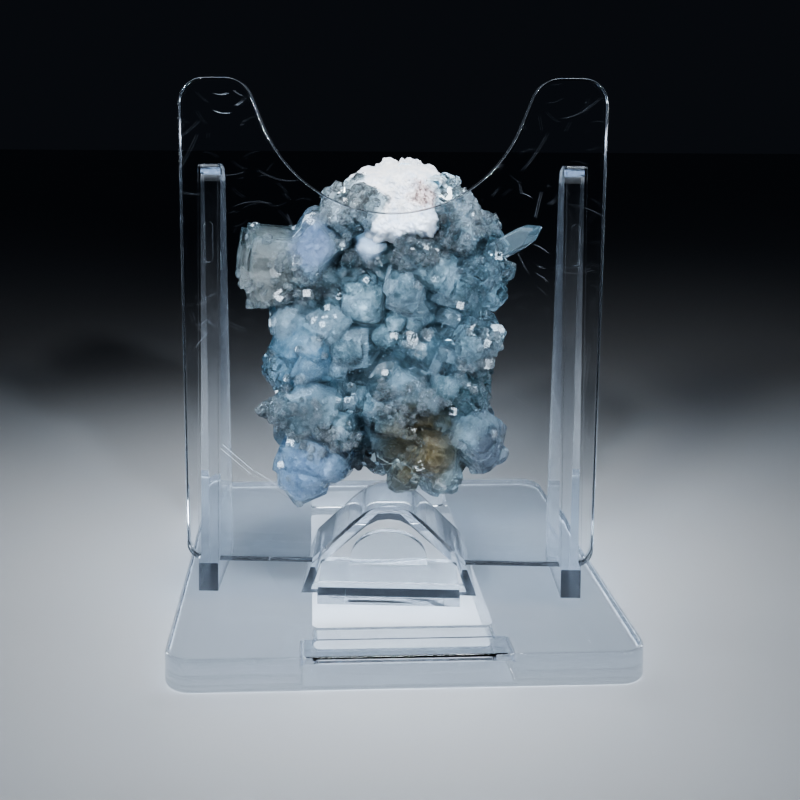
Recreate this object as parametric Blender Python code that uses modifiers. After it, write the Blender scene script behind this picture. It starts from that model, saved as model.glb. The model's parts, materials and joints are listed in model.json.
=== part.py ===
"""Apophyllite cluster on its clear moulded display stand.

Frame in metres: X runs across the stand, Y runs away from the viewer, Z is up.
The origin is the middle of the base's footprint, on the table.
"""
import math
import random

import bmesh
import bpy
from mathutils import Matrix, Vector

MM = 0.001

# Base plate
BASE_WIDTH = 62.3 * MM
BASE_DEPTH = 66.0 * MM
BASE_THICK = 4.4 * MM
BASE_CORNER = 3.6 * MM
BASE_EDGE_ROUND = 0.45 * MM
BASE_TURN = math.radians(4.55)
STANDING_GAP = 0.3 * MM
STANDS_AT = BASE_THICK + STANDING_GAP
WINDOW_WIDTH = 24.4 * MM
WINDOW_FRONT = 7.7 * MM
WINDOW_REAR = 6.0 * MM
POCKET_WIDTH = 27.8 * MM
POCKET_DEPTH = 5.2 * MM
SLOT_LOW = 0.8 * MM
SLOT_HIGH = 3.6 * MM

# Upright plate with its two horns
PLATE_FRONT = -16.2 * MM
PLATE_THICK = 2.8 * MM
PLATE_TOP = 78.3 * MM
PLATE_BOTTOM = 8.9 * MM
HALF_WIDTH_TOP = 30.2 * MM
HALF_WIDTH_BOTTOM = 29.1 * MM
HORN_OUTER_ROUND = 3.6 * MM
HORN_INNER_ROUND = 4.0 * MM
PLATE_CORNER_ROUND = 2.6 * MM
DIP_BOTTOM = 59.2 * MM
DIP_RADIUS = 19.5 * MM
DIP_SWEEP = math.radians(68.0)

# Bracing ribs behind the plate
RIB_INNER = 24.45 * MM
RIB_THICK = 2.8 * MM
RIB_TOP = 66.0 * MM
RIB_TOP_DEPTH = 7.5 * MM
RIB_FOOT_DEPTH = 14.8 * MM
RIB_PROUD = 0.35 * MM
RIB_MARK_LENGTH = 5.8 * MM
RIB_MARK_WIDTH = 1.3 * MM
RIB_MARK_HEIGHT = 55.0 * MM
RIB_MARK_DEPTH = 1.0 * MM

# Arched hood between the ribs, with its foot in the base window
HOOD_TOP = 16.8 * MM
HOOD_WALL = 1.2 * MM
HOOD_DEPTH = 13.6 * MM
HOOD_PROUD = 0.3 * MM
FOOT_WIDTH = 20.4 * MM
FOOT_LOW = 3.0 * MM
FOOT_HIGH = 5.0 * MM
SILL_WIDTH = 24.4 * MM
SILL_HIGH = 5.6 * MM
SILL_DEPTH = 1.8 * MM
LUG_WIDTH = 11.8 * MM
LUG_HEIGHT = 5.2 * MM
LUG_THICK = 1.4 * MM
LUG_SET_BACK = 8.0 * MM

# Crystal cluster
CLUSTER_CENTRE = Vector((0.0, -2.6 * MM, 40.0 * MM))
CLUSTER_HALF_DEPTH = 9.0 * MM
CLUSTER_FRONT_LIMIT = PLATE_FRONT + PLATE_THICK + 0.45 * MM
SKIN_INSET = 3.4 * MM
CLEAR_GAP = 0.4 * MM
SILHOUETTE = [
    (2.6, 66.7), (7.6, 65.6), (12.2, 62.6), (15.2, 58.6), (18.2, 54.6), (19.8, 50.0),
    (19.0, 46.4), (16.6, 43.2), (17.6, 39.8), (15.4, 36.6), (16.4, 33.2), (15.4, 29.6),
    (18.2, 26.6), (18.4, 22.2), (15.0, 19.6), (11.0, 17.6), (7.6, 15.2), (1.0, 17.2),
    (-4.0, 17.6), (-9.4, 16.0), (-13.8, 13.8), (-17.0, 16.8), (-18.2, 22.4), (-18.8, 27.6),
    (-19.2, 31.4), (-20.4, 35.2), (-19.2, 39.0), (-18.6, 42.4), (-21.6, 46.4), (-21.8, 51.6),
    (-19.6, 55.4), (-15.0, 57.8), (-11.2, 61.4), (-6.6, 64.4), (-2.0, 66.0),
]


def clear_scene():
    for item in list(bpy.data.objects):
        bpy.data.objects.remove(item, do_unlink=True)


def new_collection(name):
    group = bpy.data.collections.new(name)
    bpy.context.scene.collection.children.link(group)
    return group


def plain_material(name, colour, roughness, clear):
    material = bpy.data.materials.new(name)
    material.use_nodes = True
    shader = material.node_tree.nodes["Principled BSDF"]
    shader.inputs["Base Color"].default_value = (*colour, 1.0)
    shader.inputs["Roughness"].default_value = roughness
    shader.inputs["Transmission Weight"].default_value = clear
    shader.inputs["IOR"].default_value = 1.5
    return material


def mesh_object(name, shape, group, helper=False):
    mesh = bpy.data.meshes.new(name)
    bmesh.ops.recalc_face_normals(shape, faces=shape.faces)
    shape.to_mesh(mesh)
    shape.free()
    item = bpy.data.objects.new(name, mesh)
    group.objects.link(item)
    if helper:
        item.hide_render = True
        item.display_type = "WIRE"
    return item


def prism_xz(outline, near, far):
    """Outline in X and Z pushed along Y from near to far."""
    shape = bmesh.new()
    front = [shape.verts.new((x, near, z)) for x, z in outline]
    face = shape.faces.new(front)
    pushed = bmesh.ops.extrude_face_region(shape, geom=[face])
    moved = [v for v in pushed["geom"] if isinstance(v, bmesh.types.BMVert)]
    bmesh.ops.translate(shape, verts=moved, vec=(0.0, far - near, 0.0))
    return shape


def prism_xy(outline, low, high):
    """Outline in X and Y pushed up from low to high."""
    shape = bmesh.new()
    floor = [shape.verts.new((x, y, low)) for x, y in outline]
    face = shape.faces.new(floor)
    pushed = bmesh.ops.extrude_face_region(shape, geom=[face])
    moved = [v for v in pushed["geom"] if isinstance(v, bmesh.types.BMVert)]
    bmesh.ops.translate(shape, verts=moved, vec=(0.0, 0.0, high - low))
    return shape


def prism_yz(outline, left, right):
    """Outline in Y and Z pushed along X from left to right."""
    shape = bmesh.new()
    side = [shape.verts.new((left, y, z)) for y, z in outline]
    face = shape.faces.new(side)
    pushed = bmesh.ops.extrude_face_region(shape, geom=[face])
    moved = [v for v in pushed["geom"] if isinstance(v, bmesh.types.BMVert)]
    bmesh.ops.translate(shape, verts=moved, vec=(right - left, 0.0, 0.0))
    return shape


def arc(cx, cy, radius, start, end, steps):
    return [
        (cx + radius * math.cos(start + (end - start) * i / steps),
         cy + radius * math.sin(start + (end - start) * i / steps))
        for i in range(steps + 1)
    ]


def rounded_box(half_x, half_y, radius, steps=8, cx=0.0, cy=0.0):
    quarter = math.pi / 2.0
    points = []
    corners = [(1, 1, 0.0), (-1, 1, quarter), (-1, -1, 2 * quarter), (1, -1, 3 * quarter)]
    for sx, sy, start in corners:
        points += arc(cx + sx * (half_x - radius), cy + sy * (half_y - radius),
                      radius, start, start + quarter, steps)
    return points


def boolean(target, tool, operation):
    step = target.modifiers.new(tool.name, "BOOLEAN")
    step.operation = operation
    step.solver = "EXACT"
    step.object = tool
    return step


def smooth_by_angle(item, angle):
    for polygon in item.data.polygons:
        polygon.use_smooth = True
    item.data.set_sharp_from_angle(angle=angle)


def turned(item):
    item.matrix_world = Matrix.Rotation(BASE_TURN, 4, "Z")


def build_base(group, helpers, material):
    shape = prism_xy(rounded_box(BASE_WIDTH / 2, BASE_DEPTH / 2, BASE_CORNER), 0.0, BASE_THICK)
    base = mesh_object("stand_base", shape, group)
    base.data.materials.append(material)
    edge = base.modifiers.new("edge_round", "BEVEL")
    edge.width = BASE_EDGE_ROUND
    edge.segments = 3
    edge.limit_method = "ANGLE"
    edge.angle_limit = math.radians(50.0)

    near = -BASE_DEPTH / 2 + WINDOW_FRONT
    far = BASE_DEPTH / 2 - WINDOW_REAR
    window = prism_xy(
        rounded_box(WINDOW_WIDTH / 2, (far - near) / 2, 1.0 * MM, 5, 0.0, (near + far) / 2),
        -1.0 * MM, BASE_THICK + 1.0 * MM)
    pocket_near = -BASE_DEPTH / 2 - 1.0 * MM
    pocket_far = -BASE_DEPTH / 2 + POCKET_DEPTH
    slot_mid = (SLOT_LOW + SLOT_HIGH) / 2
    slot_half = (SLOT_HIGH - SLOT_LOW) / 2
    pocket = prism_xz(rounded_box(POCKET_WIDTH / 2, slot_half, 0.9 * MM, 5, 0.0, slot_mid),
                      pocket_near, pocket_far)
    passage = prism_xz(
        rounded_box(WINDOW_WIDTH / 2 - 0.1 * MM, slot_half - 0.15 * MM, 0.7 * MM, 5, 0.0, slot_mid),
        pocket_far - 0.5 * MM, near + 0.5 * MM)
    tools = [("window_cut", window), ("pocket_cut", pocket), ("passage_cut", passage)]
    for name, tool_shape in tools:
        tool = mesh_object(name, tool_shape, helpers, helper=True)
        turned(tool)
        boolean(base, tool, "DIFFERENCE")
    turned(base)
    smooth_by_angle(base, math.radians(35.0))
    return base


def half_profile():
    """Right half of the plate outline, from the middle of the dip round to the bottom middle."""
    centre_z = DIP_BOTTOM + DIP_RADIUS
    points = [
        (DIP_RADIUS * math.sin(DIP_SWEEP * i / 18), centre_z - DIP_RADIUS * math.cos(DIP_SWEEP * i / 18))
        for i in range(19)
    ]
    end_x, end_z = points[-1]
    along = (math.cos(DIP_SWEEP), math.sin(DIP_SWEEP))
    across = (math.sin(DIP_SWEEP), -math.cos(DIP_SWEEP))
    horn_z = PLATE_TOP - HORN_INNER_ROUND
    reach = (horn_z - end_z - HORN_INNER_ROUND * across[1]) / along[1]
    horn_x = end_x + reach * along[0] + HORN_INNER_ROUND * across[0]
    points += arc(horn_x, horn_z, HORN_INNER_ROUND, math.pi / 2 + DIP_SWEEP, math.pi / 2, 8)
    points += arc(HALF_WIDTH_TOP - HORN_OUTER_ROUND, PLATE_TOP - HORN_OUTER_ROUND,
                  HORN_OUTER_ROUND, math.pi / 2, 0.0, 8)
    points += arc(HALF_WIDTH_BOTTOM - PLATE_CORNER_ROUND, PLATE_BOTTOM + PLATE_CORNER_ROUND,
                  PLATE_CORNER_ROUND, 0.0, -math.pi / 2, 8)
    return points


def hood_half(offset):
    """Half of the hood's arch, set in by offset from its outer face."""
    apex = HOOD_TOP - offset
    points = [(0.0, apex), (1.6 * MM, apex - 0.2 * MM), (3.4 * MM - offset * 0.2, apex - 1.0 * MM),
              (5.2 * MM - offset * 0.35, apex - 2.4 * MM)]
    points += [(11.0 * MM - offset * 1.05, 8.9 * MM), (12.5 * MM - offset * 1.1, STANDS_AT)]
    return points


def mirrored(half):
    return [(-x, z) for x, z in reversed(half) if x > 1e-9] + list(half)


def build_upright(group, helpers, material):
    half = half_profile()
    outline = [p for p in half] + [(-x, z) for x, z in reversed(half) if x > 1e-9]
    plate_back = PLATE_FRONT + PLATE_THICK
    upright = mesh_object("stand_upright", prism_xz(outline, PLATE_FRONT, plate_back), group)
    upright.data.materials.append(material)
    edge = upright.modifiers.new("edge_round", "BEVEL")
    edge.width = 0.35 * MM
    edge.segments = 2
    edge.limit_method = "ANGLE"
    edge.angle_limit = math.radians(50.0)

    mouth = mirrored(hood_half(HOOD_WALL / 2))
    mouth_shape = prism_xz([(x, z) for x, z in mouth], PLATE_FRONT - 1.0 * MM, plate_back + 0.6 * MM)
    boolean(upright, mesh_object("hood_mouth_cut", mouth_shape, helpers, helper=True), "DIFFERENCE")

    rib_front = PLATE_FRONT - RIB_PROUD
    profile = [
        (rib_front, STANDS_AT), (PLATE_FRONT + RIB_FOOT_DEPTH, STANDS_AT),
        (PLATE_FRONT + RIB_TOP_DEPTH, RIB_TOP - 2.6 * MM),
        (PLATE_FRONT + RIB_TOP_DEPTH - 0.9 * MM, RIB_TOP - 0.8 * MM),
        (PLATE_FRONT + RIB_TOP_DEPTH - 2.8 * MM, RIB_TOP), (rib_front + 0.3 * MM, RIB_TOP),
        (rib_front, RIB_TOP - 0.3 * MM),
    ]
    for side, sign in (("left", -1.0), ("right", 1.0)):
        inner = sign * RIB_INNER
        outer = sign * (RIB_INNER + RIB_THICK)
        rib = mesh_object("rib_" + side, prism_yz(profile, inner, outer), helpers, helper=True)
        boolean(upright, rib, "UNION")
        middle = sign * (RIB_INNER + RIB_THICK / 2)
        mark = prism_xz(
            rounded_box(RIB_MARK_WIDTH / 2, RIB_MARK_LENGTH / 2, RIB_MARK_WIDTH / 2 - 0.01 * MM, 5,
                        middle, RIB_MARK_HEIGHT),
            rib_front - 1.0 * MM, rib_front + RIB_MARK_DEPTH)
        boolean(upright, mesh_object("mark_" + side, mark, helpers, helper=True), "DIFFERENCE")

    hood_near = PLATE_FRONT - HOOD_PROUD
    hood_far = PLATE_FRONT + HOOD_DEPTH
    outer_line = mirrored(hood_half(0.0))
    inner_line = mirrored(hood_half(HOOD_WALL))
    band = outer_line + list(reversed(inner_line))
    hood = mesh_object("hood", prism_xz(band, hood_near, hood_far), helpers, helper=True)
    boolean(upright, hood, "UNION")

    floor_far = PLATE_FRONT + 11.2 * MM
    floor_outline = [(-FOOT_WIDTH / 2, FOOT_LOW), (FOOT_WIDTH / 2, FOOT_LOW),
                     (FOOT_WIDTH / 2, FOOT_HIGH), (-FOOT_WIDTH / 2, FOOT_HIGH)]
    foot = mesh_object("foot_plate", prism_xz(floor_outline, hood_near + 0.1 * MM, floor_far),
                       helpers, helper=True)
    boolean(upright, foot, "UNION")
    sill_outline = [(-SILL_WIDTH / 2, STANDS_AT), (SILL_WIDTH / 2, STANDS_AT),
                    (SILL_WIDTH / 2 - 0.6 * MM, SILL_HIGH), (-SILL_WIDTH / 2 + 0.6 * MM, SILL_HIGH)]
    sill = mesh_object("sill", prism_xz(sill_outline, hood_near + 0.05 * MM, hood_near + SILL_DEPTH),
                       helpers, helper=True)
    boolean(upright, sill, "UNION")

    lug_near = PLATE_FRONT + LUG_SET_BACK
    lug_low = FOOT_HIGH - 0.3 * MM
    lug_line = [(-LUG_WIDTH / 2, lug_low), (LUG_WIDTH / 2, lug_low)]
    lug_line += [
        (LUG_WIDTH / 2 * math.cos(math.pi * i / 16), lug_low + 0.5 * MM
         + LUG_HEIGHT * math.sin(math.pi * i / 16) ** 0.85)
        for i in range(17)
    ]
    lug = mesh_object("lug", prism_xz(lug_line, lug_near, lug_near + LUG_THICK), helpers, helper=True)
    boolean(upright, lug, "UNION")
    smooth_by_angle(upright, math.radians(35.0))
    return upright


def reach_at(angle):
    """Distance from the cluster's middle to its silhouette at an angle in the X and Z plane."""
    ray = Vector((math.cos(angle), math.sin(angle)))
    best = 0.0
    count = len(SILHOUETTE)
    for i in range(count):
        a = Vector(SILHOUETTE[i]) * MM - Vector((CLUSTER_CENTRE.x, CLUSTER_CENTRE.z))
        b = Vector(SILHOUETTE[(i + 1) % count]) * MM - Vector((CLUSTER_CENTRE.x, CLUSTER_CENTRE.z))
        edge = b - a
        across = ray.x * edge.y - ray.y * edge.x
        if abs(across) < 1e-12:
            continue
        along = (a.x * edge.y - a.y * edge.x) / across
        share = (a.x * ray.y - a.y * ray.x) / across
        if along > 0.0 and 0.0 <= share <= 1.0:
            best = max(best, along)
    return best


def skin_point(angle, lift, inset):
    """Point of the cluster's lumpy body: lift runs from the front pole to the back pole."""
    reach = reach_at(angle) - inset
    level = math.sin(lift)
    spread = max(0.0, math.cos(lift)) ** 0.62
    lumps = 1.0 + 0.05 * math.sin(3.0 * angle + 1.3) * math.cos(2.0 * lift)
    lumps += 0.04 * math.sin(5.0 * angle - 0.7 + 2.0 * lift)
    depth = (CLUSTER_HALF_DEPTH - 1.2 * MM) * level * lumps
    if level > 0.0:
        depth *= 1.25
    x = CLUSTER_CENTRE.x + reach * spread * math.cos(angle)
    z = CLUSTER_CENTRE.z + reach * spread * math.sin(angle)
    return Vector((x, CLUSTER_CENTRE.y + depth, z))


def skin_normal(angle, lift):
    step = 0.03
    a = skin_point(angle + step, lift, SKIN_INSET) - skin_point(angle - step, lift, SKIN_INSET)
    b = skin_point(angle, lift + step, SKIN_INSET) - skin_point(angle, lift - step, SKIN_INSET)
    normal = a.cross(b)
    if normal.length < 1e-12:
        return Vector((0.0, -1.0 if lift < 0.0 else 1.0, 0.0))
    normal.normalize()
    outward = skin_point(angle, lift, SKIN_INSET) - CLUSTER_CENTRE
    return normal if normal.dot(outward) > 0.0 else -normal


def build_body(group):
    shape = bmesh.new()
    around = 44
    rows = 12
    rings = []
    for j in range(1, rows):
        lift = -math.pi / 2 + math.pi * j / rows
        ring = [shape.verts.new(skin_point(2.0 * math.pi * i / around, lift, SKIN_INSET))
                for i in range(around)]
        rings.append(ring)
    front = shape.verts.new(skin_point(0.0, -math.pi / 2, SKIN_INSET))
    back = shape.verts.new(skin_point(0.0, math.pi / 2, SKIN_INSET))
    for lower, upper in zip(rings, rings[1:]):
        for i in range(around):
            k = (i + 1) % around
            shape.faces.new((lower[i], lower[k], upper[k], upper[i]))
    for i in range(around):
        k = (i + 1) % around
        shape.faces.new((front, rings[0][k], rings[0][i]))
        shape.faces.new((back, rings[-1][i], rings[-1][k]))
    return mesh_object("apophyllite_cluster", shape, group)


def crystal_points(half, length, tip_share, flat):
    """Corners of a square prism with four pyramid faces over its edges and a small flat end."""
    pyramid_run = half * math.sqrt(2.0)
    tip = length
    shoulder = length * (1.0 - tip_share)
    planes = [(Vector((1, 0, 0)), half), (Vector((-1, 0, 0)), half),
              (Vector((0, 1, 0)), half), (Vector((0, -1, 0)), half),
              (Vector((0, 0, 1)), tip - flat * (tip - shoulder)), (Vector((0, 0, -1)), length * 0.6)]
    rise = tip - shoulder
    for sx, sy in ((1, 1), (1, -1), (-1, 1), (-1, -1)):
        normal = Vector((sx / math.sqrt(2.0) * rise, sy / math.sqrt(2.0) * rise, pyramid_run))
        normal.normalize()
        planes.append((normal, normal.z * tip))
    corners = []
    count = len(planes)
    for i in range(count):
        for j in range(i + 1, count):
            for k in range(j + 1, count):
                rows = Matrix((planes[i][0], planes[j][0], planes[k][0]))
                if abs(rows.determinant()) < 1e-6:
                    continue
                point = rows.inverted() @ Vector((planes[i][1], planes[j][1], planes[k][1]))
                inside = all(n.dot(point) <= d + 1e-7 for n, d in planes)
                if inside and all((point - c).length > 2e-6 for c in corners):
                    corners.append(point)
    return corners


def frame_on(axis, spin):
    side = axis.orthogonal().normalized()
    other = axis.cross(side).normalized()
    turn = Matrix.Rotation(spin, 3, axis)
    side = turn @ side
    other = turn @ other
    return Matrix((side, other, axis)).transposed()


def hood_height(x):
    line = hood_half(0.0)
    for (x0, z0), (x1, z1) in zip(line, line[1:]):
        if x0 <= abs(x) <= x1:
            return z0 + (z1 - z0) * (abs(x) - x0) / (x1 - x0)
    return STANDS_AT


def clear_of_stand(point):
    if point.y < CLUSTER_FRONT_LIMIT:
        return False
    if point.y < PLATE_FRONT + RIB_FOOT_DEPTH + 1.0 * MM and abs(point.x) > RIB_INNER - 0.6 * MM:
        return False
    if point.y < PLATE_FRONT + HOOD_DEPTH + CLEAR_GAP and point.z < hood_height(point.x) + CLEAR_GAP:
        return False
    return point.z > BASE_THICK + 1.0 * MM


def crystal_solid(points, place, root):
    shape = bmesh.new()
    for point in points:
        shape.verts.new(root + place @ point)
    bmesh.ops.convex_hull(shape, input=list(shape.verts))
    bmesh.ops.dissolve_limit(shape, angle_limit=math.radians(0.5), verts=list(shape.verts),
                             edges=list(shape.edges))
    return shape


def grow(half, length, tip_share, flat, root, axis, spin):
    """One crystal, shortened until it stands clear of the stand; nothing if it can't."""
    place = frame_on(axis, spin)
    for _ in range(7):
        points = crystal_points(half, length, tip_share, flat)
        if all(clear_of_stand(root + place @ p) for p in points):
            return crystal_solid(points, place, root)
        length *= 0.86
        half *= 0.93
    return None


def crystal_plan():
    """Large, named crystals first, then seeded rows over the front, the rim and the back."""
    chance = random.Random(29)
    plan = []
    # x, z, set back, half width, length, axis, tip share, flat share, spin; in millimetres
    named = [
        (-15.5, 51.0, 1.0, 3.9, 6.6, (-1.0, -0.35, 0.12), 0.10, 0.3, 0.1),
        (-11.6, 54.0, -5.5, 3.1, 4.2, (-0.25, -1.0, 0.10), 0.14, 0.5, 0.2),
        (-17.0, 46.5, 2.0, 3.3, 5.2, (-1.0, -0.2, -0.1), 0.2, 0.4, 0.5),
        (-14.0, 38.0, -3.5, 4.0, 7.0, (-0.75, -0.75, -0.1), 0.75, 0.05, 0.8),
        (15.0, 52.2, 1.0, 1.3, 6.6, (0.93, -0.15, 0.34), 0.35, 0.25, 0.4),
        (14.4, 48.0, -0.5, 3.0, 5.0, (0.9, -0.5, -0.1), 0.45, 0.2, 0.3),
        (12.6, 39.6, -4.0, 3.2, 5.4, (0.7, -0.8, 0.1), 0.6, 0.1, 0.9),
        (3.4, 40.4, -7.0, 2.9, 4.6, (0.1, -1.0, 0.05), 0.55, 0.2, 0.3),
        (-4.4, 32.4, -7.0, 1.9, 3.4, (-0.1, -1.0, 0.0), 0.4, 0.4, 0.6),
        (2.6, 25.2, -6.6, 2.3, 4.2, (0.0, -1.0, -0.2), 0.5, 0.2, 0.2),
        (2.2, 18.6, -3.6, 1.9, 3.4, (-0.1, -0.9, -0.5), 0.5, 0.3, 0.5),
        (-13.0, 18.6, -1.5, 3.6, 5.4, (-0.15, -0.45, -1.0), 0.5, 0.15, 0.9),
        (14.8, 24.4, -1.0, 3.4, 5.2, (0.9, -0.5, -0.25), 0.35, 0.3, 0.2),
        (-16.4, 25.6, -1.0, 3.0, 5.0, (-0.9, -0.6, -0.1), 0.5, 0.2, 0.7),
        (4.6, 62.0, 0.0, 3.4, 4.6, (0.3, -0.1, 1.0), 0.3, 0.4, 0.4),
    ]
    for x, z, back, half, length, axis, tip, flat, spin in named:
        root = Vector((x * MM, CLUSTER_CENTRE.y + back * MM, z * MM))
        plan.append((half * MM, length * MM, tip, flat, root, Vector(axis).normalized(), spin))
    rows = [(-0.10, 26, 3.1, 5.6), (-0.55, 20, 2.7, 4.8), (-0.95, 13, 2.5, 4.2),
            (-1.30, 7, 2.3, 3.8), (0.38, 20, 2.6, 4.4), (0.80, 12, 2.6, 3.8), (1.20, 6, 2.6, 3.4)]
    for lift, count, half, length in rows:
        start = chance.uniform(0.0, 6.28)
        for i in range(count):
            angle = start + 2.0 * math.pi * (i + chance.uniform(-0.25, 0.25)) / count
            level = lift + chance.uniform(-0.12, 0.12)
            root = skin_point(angle, level, SKIN_INSET)
            axis = skin_normal(angle, level)
            axis = axis + Vector([chance.uniform(-0.32, 0.32) for _ in range(3)])
            axis.normalize()
            size = chance.uniform(0.72, 1.15)
            plan.append((half * MM * size * chance.uniform(0.8, 1.1), length * MM * size,
                         chance.choice((0.35, 0.5, 0.62, 0.78)), chance.uniform(0.05, 0.4),
                         root, axis, chance.uniform(0.0, 1.57)))
    return plan


def one_sound_solid(mesh, least):
    """True for a closed mesh in one piece that holds at least the volume given."""
    shape = bmesh.new()
    shape.from_mesh(mesh)
    closed = all(len(edge.link_faces) == 2 for edge in shape.edges)
    large = shape.calc_volume(signed=True) > least
    waiting = set(shape.verts)
    reached = [waiting.pop()] if waiting else []
    while reached:
        vert = reached.pop()
        for edge in vert.link_edges:
            other = edge.other_vert(vert)
            if other in waiting:
                waiting.remove(other)
                reached.append(other)
    shape.free()
    return closed and large and not waiting


def volume_of(mesh):
    shape = bmesh.new()
    shape.from_mesh(mesh)
    volume = shape.calc_volume(signed=True)
    shape.free()
    return volume


def fuse(target, shape, group):
    """Joins a crystal to the cluster; False, with the cluster unchanged, if it doesn't reach it."""
    piece = mesh_object("crystal", shape, group)
    boolean(target, piece, "UNION")
    graph = bpy.context.evaluated_depsgraph_get()
    joined = bpy.data.meshes.new_from_object(target.evaluated_get(graph))
    target.modifiers.clear()
    reached = one_sound_solid(joined, volume_of(target.data))
    spent = joined
    if reached:
        spent = target.data
        target.data = joined
    bpy.data.meshes.remove(spent)
    spare = piece.data
    bpy.data.objects.remove(piece, do_unlink=True)
    bpy.data.meshes.remove(spare)
    return reached


def build_cluster(group, material):
    body = build_body(group)
    for half, length, tip_share, flat, root, axis, spin in crystal_plan():
        for attempt in range(4):
            start = root + (CLUSTER_CENTRE - root).normalized() * attempt * 1.3 * MM
            shape = grow(half, length, tip_share, flat, start, axis, spin)
            if shape is not None and fuse(body, shape, group):
                break
    body.name = "apophyllite_cluster"
    body.data.name = "apophyllite_cluster"
    body.data.materials.clear()
    body.data.materials.append(material)
    for polygon in body.data.polygons:
        polygon.use_smooth = False
        polygon.material_index = 0
    return body


def main():
    clear_scene()
    parts = new_collection("apophyllite_cluster_on_stand")
    helpers = new_collection("helpers")
    build_base(parts, helpers, plain_material("base_clear", (0.82, 0.88, 0.93), 0.08, 0.9))
    build_upright(parts, helpers, plain_material("upright_clear", (0.84, 0.90, 0.95), 0.06, 0.9))
    build_cluster(parts, plain_material("crystal_pale", (0.62, 0.72, 0.74), 0.25, 0.35))


main()
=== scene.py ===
"""Looks of an apophyllite cluster standing in its clear moulded holder.

Metres, +Z up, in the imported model's frame: X across the holder, Y away from the viewer.
"""
import json
import math
import random

import bmesh
import bpy
import numpy as np
from mathutils import Matrix, Vector, noise

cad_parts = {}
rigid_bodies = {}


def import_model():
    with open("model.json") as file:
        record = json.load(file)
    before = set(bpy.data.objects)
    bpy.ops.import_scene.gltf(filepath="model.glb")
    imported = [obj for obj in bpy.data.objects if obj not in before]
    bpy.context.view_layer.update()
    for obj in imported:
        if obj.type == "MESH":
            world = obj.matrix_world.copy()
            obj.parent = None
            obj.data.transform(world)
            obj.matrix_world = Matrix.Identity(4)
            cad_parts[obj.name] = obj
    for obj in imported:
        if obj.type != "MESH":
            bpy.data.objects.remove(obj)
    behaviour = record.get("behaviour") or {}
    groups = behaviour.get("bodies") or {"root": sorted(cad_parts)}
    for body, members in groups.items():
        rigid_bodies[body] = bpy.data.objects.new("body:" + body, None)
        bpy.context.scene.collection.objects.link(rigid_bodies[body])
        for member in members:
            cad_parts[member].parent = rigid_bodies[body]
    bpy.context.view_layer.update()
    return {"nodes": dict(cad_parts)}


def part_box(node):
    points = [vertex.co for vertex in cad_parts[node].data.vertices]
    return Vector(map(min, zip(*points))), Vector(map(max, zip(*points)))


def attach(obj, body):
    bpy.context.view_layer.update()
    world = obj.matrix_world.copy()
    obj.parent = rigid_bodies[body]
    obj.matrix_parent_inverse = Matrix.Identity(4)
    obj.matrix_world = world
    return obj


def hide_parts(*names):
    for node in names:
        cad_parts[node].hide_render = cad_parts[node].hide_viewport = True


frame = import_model()

MM = 0.001

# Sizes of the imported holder
RIB_PROUD = 0.35 * MM
PLATE_THICK = 2.8 * MM
PLATE_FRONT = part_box("stand_upright")[0].y + RIB_PROUD
PLATE_BACK = PLATE_FRONT + PLATE_THICK
RIB_INNER = 24.45 * MM
RIB_FOOT_DEPTH = 14.8 * MM
HOOD_DEPTH = 13.6 * MM
BASE_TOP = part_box("stand_base")[1].z
# Right half of the arched hood's upper line: across, height
HOOD_LINE = np.array([(0.0, 16.8), (1.6, 16.6), (3.4, 15.8), (5.2, 14.4), (11.0, 8.9), (12.5, 4.7),
                      (12.6, BASE_TOP / MM)]) * MM

# How far the cluster keeps from the holder
PLATE_GAP = 0.42 * MM
BASE_GAP = 1.0 * MM
RIB_FOOT_GAP = 1.0 * MM
RIB_SIDE_GAP = 0.6 * MM
HOOD_GAP = 0.4 * MM
FRONT_LIMIT = PLATE_BACK + PLATE_GAP

# Indices of refraction of apophyllite and of clear styrene
CRYSTAL_IOR = 1.535
STYRENE_IOR = 1.55

# View and lamps
CAMERA_PLACE = (-0.38 * MM, -156.5 * MM, 70.3 * MM)
LAMP_AIM = Vector((0.0, 0.0, 0.04))
# Where the two lamps stand that crystal ends flash with, and where the flashes are seen from
GLINTS = [(-0.12, -0.30, 0.22), (0.16, -0.28, 0.17)]
EYE = Vector((-0.4 * MM, -156.5 * MM, 70.3 * MM))
# Name, place, width, height, watts, spread in degrees, colour
LAMPS = [
    ("key", (-0.20, -0.28, 0.19), 0.06, 0.06, 0.040, 46.0, (0.93, 0.97, 1.0)),
    ("fill", (0.28, -0.20, 0.10), 0.06, 0.08, 0.019, 46.0, (0.92, 0.96, 1.0)),
    ("top", (0.03, -0.05, 0.30), 0.08, 0.06, 0.024, 40.0, (0.95, 0.98, 1.0)),
    ("rim_left", (-0.24, 0.10, 0.11), 0.05, 0.20, 0.035, 60.0, (0.85, 0.93, 1.0)),
    ("rim_right", (0.24, 0.12, 0.11), 0.05, 0.20, 0.035, 60.0, (0.85, 0.93, 1.0)),
    ("glint_0", GLINTS[0], 0.020, 0.020, 0.013, 30.0, (0.96, 0.98, 1.0)),
    ("glint_1", GLINTS[1], 0.020, 0.020, 0.013, 30.0, (0.96, 0.98, 1.0)),
]

# Cluster: its middle, and its reach forward and back from there in millimetres
CENTRE = Vector((0.0, -2.6 * MM, 40.0 * MM))
FRONT_DEPTH = 10.2
BACK_DEPTH = 12.0
CHAMFER = 0.11 * MM
# Tips stand this far behind the plate before their own distance is added; millimetres
FRONT_TIP_GAP = 0.45
GLINT_TIP_GAP = 0.1
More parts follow.
